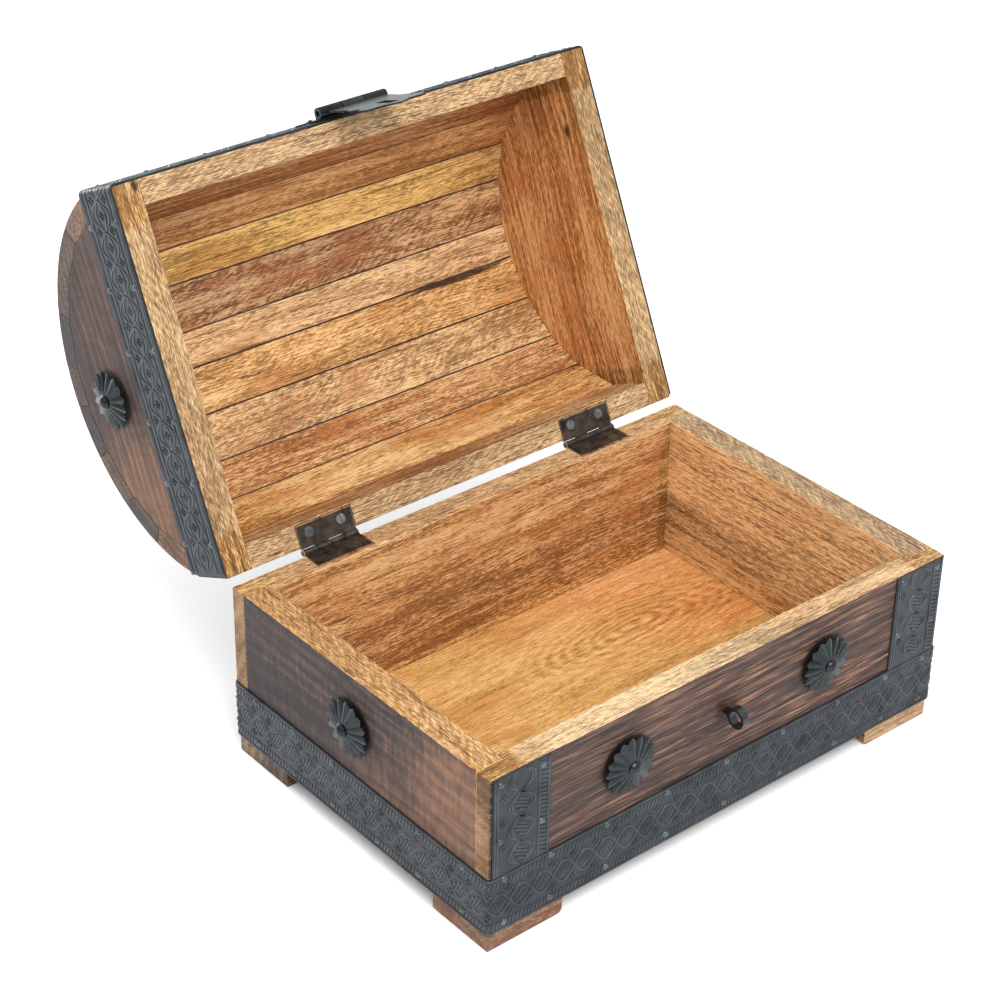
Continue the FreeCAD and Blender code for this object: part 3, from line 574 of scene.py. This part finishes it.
def stamp_tree(name, edges, dashes, flowers, waves, strokes):
    """A node tree that lays rows of raised lines along a path, drawn flat first and then bent round it.

    edges, dashes and flowers are the distances of those rows from the strip's middle in metres, and waves
    the heights of the crossing lines as shares of the full one. strokes tells whether slanted strokes or
    flowers fill the eyes between those lines."""
    sizes = ("Ridge", "Dash Pitch", "Dash Length", "Dash Slant", "Wave Pitch", "Wave Height")
    tree, ids, given = tree_of(name, [("Path", "Geometry"), *[(label, "Float") for label in sizes],
                                      ("Across", "Vector"), ("Metal", "Material")], "Relief")
    start = given["Path"]
    path = start.node("GeometryNodeMeshToCurve", {}, {"Mesh": start})
    length = path.node("GeometryNodeCurveLength", {}, {"Curve": path})
    profile = start.node("GeometryNodeCurvePrimitiveCircle", {}, {"Resolution": 6, "Radius": given["Ridge"]})
    pitch = given["Wave Pitch"]

    def point(x, y):
        return start.node("ShaderNodeCombineXYZ", {}, {0: x, 1: y, 2: 0.0})

    def line(x0, y0, x1, y1):
        ends = {"Start": point(x0, y0), "End": point(x1, y1)}
        return start.node("GeometryNodeCurvePrimitiveLine", {}, ends)

    def long_line(across):
        whole = line(0.0, across, length, across)
        return whole.node("GeometryNodeResampleCurve", {"mode": "LENGTH"}, {"Curve": whole, "Length": 0.0012})

    def ridge(curve):
        return curve.node("GeometryNodeCurveToMesh", {},
                          {"Curve": curve, "Profile Curve": profile, "Fill Caps": True})

    def row(shape, step, first, across):
        share = length / step
        count = share.node("FunctionNodeFloatToInt", {"rounding_mode": "FLOOR"}, {0: share})
        spots = start.node("GeometryNodeMeshLine", {},
                           {"Count": count, "Start Location": point(step * first, across),
                            "Offset": point(step, 0.0)})
        return spots.node("GeometryNodeInstanceOnPoints", {}, {"Points": spots, "Instance": shape})

    rows = [ridge(long_line(across)) for across in edges]
    half, slant = given["Dash Length"] * 0.5, given["Dash Slant"] * 0.5
    dash = ridge(line(0.0 - slant, 0.0 - half, slant, half))
    rows += [row(dash, given["Dash Pitch"], 0.5, across) for across in dashes]
    dot = start.node("GeometryNodeMeshIcoSphere", {}, {"Radius": given["Ridge"] * 1.7, "Subdivisions": 1})
    around = start.node("GeometryNodeMeshCircle", {}, {"Vertices": 4, "Radius": given["Ridge"] * 2.4})
    flower = around.node("GeometryNodeInstanceOnPoints", {}, {"Points": around, "Instance": dot})
    rows += [row(flower, pitch, 1.0, across) for across in flowers]
    for share in waves:
        flat = long_line(0.0)
        here = flat.node("GeometryNodeInputPosition", {}, {})
        turn = here.node("ShaderNodeSeparateXYZ", {}, {0: here}) * math.pi / pitch
        swing_out = turn.sum("SINE", turn, 0.0) * given["Wave Height"] * share
        offset = point(0.0, swing_out)
        rows.append(ridge(flat.node("GeometryNodeSetPosition", {}, {"Geometry": flat, "Offset": offset})))
    if strokes:
        reach = given["Wave Height"] * 0.58
        marks = []
        for k, share in ((-1.5, 0.5), (-0.5, 1.0), (0.5, 1.0), (1.5, 0.5)):
            middle, tall = pitch * (0.15 * k), reach * share
            marks.append(ridge(line(middle - tall * 0.5, 0.0 - tall, middle + tall * 0.5, tall)))
        rows.append(row(start.node("GeometryNodeJoinGeometry", {}, {0: marks}), pitch, 0.5, 0.0))
    else:
        rows.append(row(flower, pitch, 0.5, 0.0))
    laid = start.node("GeometryNodeJoinGeometry", {}, {0: rows})
    flat = laid.node("GeometryNodeRealizeInstances", {}, {0: laid})
    here = flat.node("GeometryNodeInputPosition", {}, {})
    split = here.node("ShaderNodeSeparateXYZ", {}, {0: here})
    side, height = [Lead(tree, split.socket.node.outputs[k]) for k in (1, 2)]
    spot = path.node("GeometryNodeSampleCurve", {"mode": "LENGTH", "use_all_curves": True},
                     {"Curves": path, "Length": split}, "Position")
    tangent = Lead(tree, spot.socket.node.outputs["Tangent"])
    out = tangent.vector("CROSS_PRODUCT", given["Across"]).vector("NORMALIZE", (0, 0, 0))
    sideways = start.node("ShaderNodeVectorMath", {"operation": "SCALE"}, {0: given["Across"], 3: side})
    outward = start.node("ShaderNodeVectorMath", {"operation": "SCALE"}, {0: out, 3: height * 0.7})
    site = spot.vector("ADD", sideways).vector("ADD", outward)
    bent = flat.node("GeometryNodeSetPosition", {}, {"Geometry": flat, "Position": site})
    coated = bent.node("GeometryNodeSetMaterial", {}, {0: bent, "Material": given["Metal"]})
    feed(coated, tree.nodes.new("NodeGroupOutput"), 0)
    return tree, ids


def grown(name, points, tree, ids, values):
    """The plain mesh that a node tree makes of a line of points in millimetres."""
    data = bpy.data.meshes.new(name)
    data.from_pydata([Vector(p) * MM for p in points], [(i, i + 1) for i in range(len(points) - 1)], [])
    piece = placed(name, data)
    maker = piece.modifiers.new(name, "NODES")
    maker.node_group = tree
    for label, value in values.items():
        maker[ids[label]] = value
    made_plain(piece)
    return piece


def round_path(corners, r):
    """A line through corners in millimetres, with each inner one bent to a radius."""
    points = [Vector(corners[0])]
    for before, corner, after in zip(corners, corners[1:], corners[2:]):
        here = Vector(corner)
        a, b = (Vector(before) - here).normalized(), (Vector(after) - here).normalized()
        middle = here + (a + b) * r
        for k in range(7):
            t = math.radians(90 * k / 6)
            points.append(middle - b * r * math.cos(t) - a * r * math.sin(t))
    return points + [Vector(corners[-1])]


SHEET, BEND, SEAM_X, BAND_TOP, STRAP_IN, STRAP_W = 0.8, 2.1, -60.0, 43.7, 1.5, 34.0
# The raised lines get a lighter copy of the sheet's finish: worn on their tops, and partly a painted
# highlight.
ridges_worn_and_highlit = iron("stamped_ridges", "2A2F33", "555B60", 0.33, metallic=0.65)
strip = {"Ridge": 0.0006, "Dash Pitch": 0.0024, "Dash Length": 0.0040, "Dash Slant": 0.0014,
         "Wave Pitch": 0.0132, "Wave Height": 0.0062, "Across": (0.0, 0.0, 1.0), "Metal": ridges_worn_and_highlit}
bx, by, band_mid = HX + SHEET, HY + SHEET, FOOT_Z + 16.5
base_stamp = stamp_tree("base_band_stamp", (-0.0155, 0.0155), (-0.0122, 0.0122), (-0.0068, 0.0068),
                        (1.0, -1.0), True)
corners = ((SEAM_X, by), (-bx, by), (-bx, -by), (bx, -by), (bx, by), (SEAM_X, by))
base_path = [(x, y, band_mid) for x, y in corners]
base_relief = grown("base_band_relief", round_path(base_path, BEND), *base_stamp, strip)
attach(base_relief, "tray")

strap_stamp = stamp_tree("strap_stamp", (-0.0157, -0.0104, 0.0143, 0.0157), (-0.0130,), (0.0105,),
                         (1.0, 0.78, -0.78, -1.0), True)
for side, name in ((-1, "left"), (1, "right")):
    middle = side * (HX - STRAP_IN - STRAP_W / 2)
    line = [(middle, -by, BAND_TOP + 1.0), (middle, -by, RIM_Z - 1.2)]
    strap_relief = grown("strap_relief_" + name, line, *strap_stamp,
                         {**strip, "Wave Height": 0.0076, "Wave Pitch": 0.0140, "Across": (-1.0, 0.0, 0.0)})
    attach(strap_relief, "tray")

lid_stamp = stamp_tree("lid_band_stamp", (-0.0158, -0.0143, -0.0104, 0.0104, 0.0143, 0.0158), (),
                       (-0.0066, 0.0066), (1.0, 0.5, -0.5, -1.0), False)
lid_mid = LID_Z + 17.0
lid_path = [(-bx, HY - 3.0, lid_mid), (-bx, -by, lid_mid), (bx, -by, lid_mid), (bx, HY - 3.0, lid_mid)]
lid_relief = grown("lid_band_relief", round_path(lid_path, BEND), *lid_stamp,
                   {**strip, "Wave Height": 0.0085, "Wave Pitch": 0.0160})
lid_relief.data.transform(swing)
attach(lid_relief, "lid")

# Band nails: small round-headed nails in pairs along both edges of the bands, and flat nails below.
# Their heads have rubbed a little brighter than the sheet.
band_nails = ("base_band_nails", "strap_nails", "lid_band_nails", "floor_nails", "foot_nails")
dress(band_nails, iron("nail_black", "3C4144", "767D80", 0.28, metallic=0.8))

# Rosettes: flowers pressed from dark sheet, with sixteen folded petals whose points stand off the wood.
# One domed nail holds each of them in its middle.
rosette_finish = iron("rosette_black", "1F2324", "3E4446", 0.26, metallic=0.85)


def rosette_tree():
    """A node tree that bends a flat grid to one folded petal and repeats it round the flower's middle."""
    sizes = ("Reach", "Notch", "Rise", "Hub", "Fold", "Lift")
    tree, ids, given = tree_of("pressed_flower", [*[(label, "Float") for label in sizes], ("Petals", "Int"),
                                                  ("Metal", "Material")], "Flower")
    start = given["Reach"]
    grid = start.node("GeometryNodeMeshGrid", {},
                      {"Size X": 1.0, "Size Y": 2.0, "Vertices X": 9, "Vertices Y": 7})
    here = grid.node("GeometryNodeInputPosition", {}, {})
    split = here.node("ShaderNodeSeparateXYZ", {}, {0: here})
    u = split + 0.5
    v = Lead(tree, split.socket.node.outputs[1])
    edge = 1.0 - abs(v)
    tip = given["Reach"] - given["Notch"] + given["Notch"] * edge
    r = given["Hub"] + u * (tip - given["Hub"])
    turn = v * math.pi / given["Petals"]
    rest = 1.0 - u
    height = given["Rise"] * rest + given["Fold"] * u * edge * (1.0 - u * 0.75) + given["Lift"] * u
    petal_at = start.node("ShaderNodeCombineXYZ", {}, {0: r * turn.sum("COSINE", turn, 0.0),
                                                      1: r * turn.sum("SINE", turn, 0.0), 2: height})
    petal = grid.node("GeometryNodeSetPosition", {}, {"Geometry": grid, "Position": petal_at})
    spots = start.node("GeometryNodeMeshLine", {}, {"Count": given["Petals"], "Offset": (0.0, 0.0, 0.0)})
    index = start.node("GeometryNodeInputIndex", {}, {})
    around = start.node("ShaderNodeCombineXYZ", {}, {2: index * (2 * math.pi) / given["Petals"]})
    ring_of = spots.node("GeometryNodeInstanceOnPoints", {},
                         {"Points": spots, "Instance": petal, "Rotation": around})
    whole = ring_of.node("GeometryNodeRealizeInstances", {}, {0: ring_of})
    joined = whole.node("GeometryNodeMergeByDistance", {}, {0: whole, "Distance": 0.00002})
    coated = joined.node("GeometryNodeSetMaterial", {}, {0: joined, "Material": given["Metal"]})
    feed(coated, tree.nodes.new("NodeGroupOutput"), 0)
    return tree, ids


flower = grown("flower", [(0, 0, 0), (0, 0, 1)], *rosette_tree(),
               {"Reach": 0.0156, "Notch": 0.0028, "Rise": 0.0054, "Hub": 0.0022, "Fold": 0.0007,
                "Lift": 0.0022, "Petals": 16, "Metal": rosette_finish})
flower_mesh = flower.data
bpy.data.objects.remove(flower)
FLOWER_SHEET = 0.5
flower_sites = {"rosette_front_left": ((FRONT_FLOWERS[0], -HY, FLOWER_Z), (0, -1, 0), "tray"),
                "rosette_front_right": ((FRONT_FLOWERS[1], -HY, FLOWER_Z), (0, -1, 0), "tray"),
                "rosette_left_end": ((-HX, END_FLOWER_Y, FLOWER_Z), (-1, 0, 0), "tray"),
                "rosette_right_end": ((HX, END_FLOWER_Y, FLOWER_Z), (1, 0, 0), "tray"),
                "rosette_lid_left": ((-HX, LID_FLOWER_Y, LID_FLOWER_Z), (-1, 0, 0), "lid"),
                "rosette_lid_right": ((HX, LID_FLOWER_Y, LID_FLOWER_Z), (1, 0, 0), "lid")}
for name, (site, out, body) in flower_sites.items():
    rosette = placed(name + "_flower", flower_mesh.copy())
    stand = Matrix.Translation(Vector(site) * MM) @ Vector(out).to_track_quat("Z", "Y").to_matrix().to_4x4()
    rosette.data.transform(swing @ stand if body == "lid" else stand)
    plate = rosette.modifiers.new("sheet", "SOLIDIFY")
    plate.thickness = FLOWER_SHEET * MM
    plate.offset = 1.0
    made_plain(rosette)
    settle(rosette, body, name, rosette_finish)
dress(("rosette_nails_tray", "rosette_nails_lid"), rosette_finish)

# Hinges: two brown-bronzed butt hinges let into the rims, with pins and slotted countersunk screws.
# The leaves lie flush with the wood; their edges have worn bright, and the bright lines along them are partly
# a painted highlight.
BRONZE = {"colour": "221D1A", "worn": "62544A", "rough": 0.33, "metallic": 0.7}
WORN_EDGE = 0.2
for name in [s + "_hinge_" + p for s in ("left", "right") for p in ("tray_leaf", "lid_leaf")]:
    worn_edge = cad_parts[name].modifiers.new("worn_edge", "BEVEL")
    worn_edge.width = WORN_EDGE * MM
    worn_edge.segments = 2
    worn_edge.limit_method = "ANGLE"
    worn_edge.angle_limit = math.radians(50)


def leaf_edges(lie, breadth):
    """The bright edges of a leaf: along its inner side and at its two ends, measured with the lid closed."""
    def lines(place):
        split = place.mapped(Location=lie.translation, Rotation=lie.to_euler())
        split = split.node("ShaderNodeSeparateXYZ", {}, {0: split})
        inward = HY * MM - Lead(split.tree, split.socket.node.outputs[1])
        endward = abs(abs(split) - HINGE_X * MM)
        return ("C09A78", inward, LEAF_IN - breadth), ("8C7460", endward, HINGE_LEN / 2 - 0.4)
    return lines


# The bright lines along the leaves' edges are worn metal and partly a painted highlight.
for part, lie, breadth in (("tray", Matrix(), 1.15), ("lid", swing.inverted(), 0.5)):
    leaf_finish = iron("hinge_bronze_" + part, **BRONZE, grain_size=150.0, rubbed_and_highlit=leaf_edges(lie, breadth))
    dress(["left_hinge_%s_leaf" % part, "right_hinge_%s_leaf" % part], leaf_finish)
dress(("left_hinge_pin", "right_hinge_pin"), iron("pin_bronze", **BRONZE))
for part, colour, worn in (("tray", "3E3C38", "6E6C66"), ("lid", "62666A", "9CA2A4")):
    screw_finish = iron("screw_grey_" + part, colour, worn, 0.28, metallic=0.85)
    dress(["hinge_%s_screws" % part], screw_finish)

# Hasp: a black plate with scrolled edges on the lid's front, a slotted flap on its pin,
# and a bent staple on the tray that takes a padlock. Flap and staple are rubbed to a lighter grey.
hasp_finish = iron("hasp_black", "131516", "2A2D2F", 0.3)
dress(("hasp_plate", "hasp_plate_nails", "hasp_pin"), hasp_finish)
dress(("hasp_flap", "hasp_staple"), iron("flap_grey", "26292B", "4C5053", 0.28, metallic=0.85))

# Studio: a plain white floor under soft light from all round, a broad lamp above and a weaker one behind.
# The camera stands where the photograph was taken from.
PAPER = 6.0
floor_data = bpy.data.meshes.new("studio_floor")
floor_corners = [(x * PAPER, y * PAPER, 0) for x, y in ((-1, -1), (1, -1), (1, 1), (-1, 1))]
floor_data.from_pydata(floor_corners, [], [(0, 1, 2, 3)])
studio = placed("studio_floor", floor_data)
paper, _, paper_shader = finish_of("studio_paper")
paper_shader.inputs["Base Color"].default_value = (0.940, 0.955, 0.970, 1.0)
paper_shader.inputs["Emission Color"].default_value = (1.0, 1.0, 1.0, 1.0)
paper_shader.inputs["Emission Strength"].default_value = 0.08
paper_shader.inputs["Roughness"].default_value = 1.0
paper_shader.inputs["Specular IOR Level"].default_value = 0.0
studio.data.materials.append(paper)

world = bpy.data.worlds.new("studio")
bpy.context.scene.world = world
world.use_nodes = True
sky = world.node_tree.nodes["Background"]
sky.inputs["Color"].default_value = (1.0, 1.0, 1.0, 1.0)
rays = world.node_tree.nodes.new("ShaderNodeLightPath")
ray = Lead(world.node_tree, rays.outputs["Is Camera Ray"])
way = ray.node("ShaderNodeNewGeometry", {}, {}, "Incoming")
rise = 0.0 - Lead(world.node_tree, way.node("ShaderNodeSeparateXYZ", {}, {0: way}).socket.node.outputs[2])
dome = rise.between(-0.1, 0.9) * 0.5 + 0.5
feed(ray + (1.0 - ray) * dome, sky, "Strength")

LAMP_AIM = Vector((0.0, 0.08, 0.1))
lamps = (("soft_lamp", 1.6, 46.0, (-0.5, -1.25, 1.9)), ("backdrop_lamp", 1.0, 12.0, (-0.1, 1.3, 0.45)))
for name, size, power, place in lamps:
    lamp_data = bpy.data.lights.new(name, "AREA")
    lamp_data.shape = "DISK"
    lamp_data.size = size
    lamp_data.energy = power
    lamp = placed(name, lamp_data)
    lamp.location = place
    lamp.rotation_euler = (LAMP_AIM - lamp.location).to_track_quat("-Z", "Y").to_euler()

AZIMUTH, ELEVATION, ROLL = [math.radians(v) for v in (-40.291, 31.424, 1.0)]
TARGET, DISTANCE = Vector((0.006598, 0.081139, 0.1)), 1.307364
FOCAL_PIXELS, FRAME_PIXELS, SENSOR = 2495.525, 1000.0, 36.0
back = Vector((math.sin(AZIMUTH) * math.cos(ELEVATION), -math.cos(AZIMUTH) * math.cos(ELEVATION),
               math.sin(ELEVATION)))
level = Vector((math.cos(AZIMUTH), math.sin(AZIMUTH), 0.0))
above = back.cross(level)
right = level * math.cos(ROLL) + above * math.sin(ROLL)
upward = above * math.cos(ROLL) - level * math.sin(ROLL)
camera_data = bpy.data.cameras.new("photo_camera")
camera_data.sensor_width = SENSOR
camera_data.lens = FOCAL_PIXELS / FRAME_PIXELS * SENSOR
camera = placed("photo_camera", camera_data)
turned = Matrix((right, upward, back)).transposed().to_4x4()
camera.matrix_world = Matrix.Translation(TARGET + back * DISTANCE) @ turned
bpy.context.scene.camera = camera
bpy.context.scene.view_settings.view_transform = "Standard"
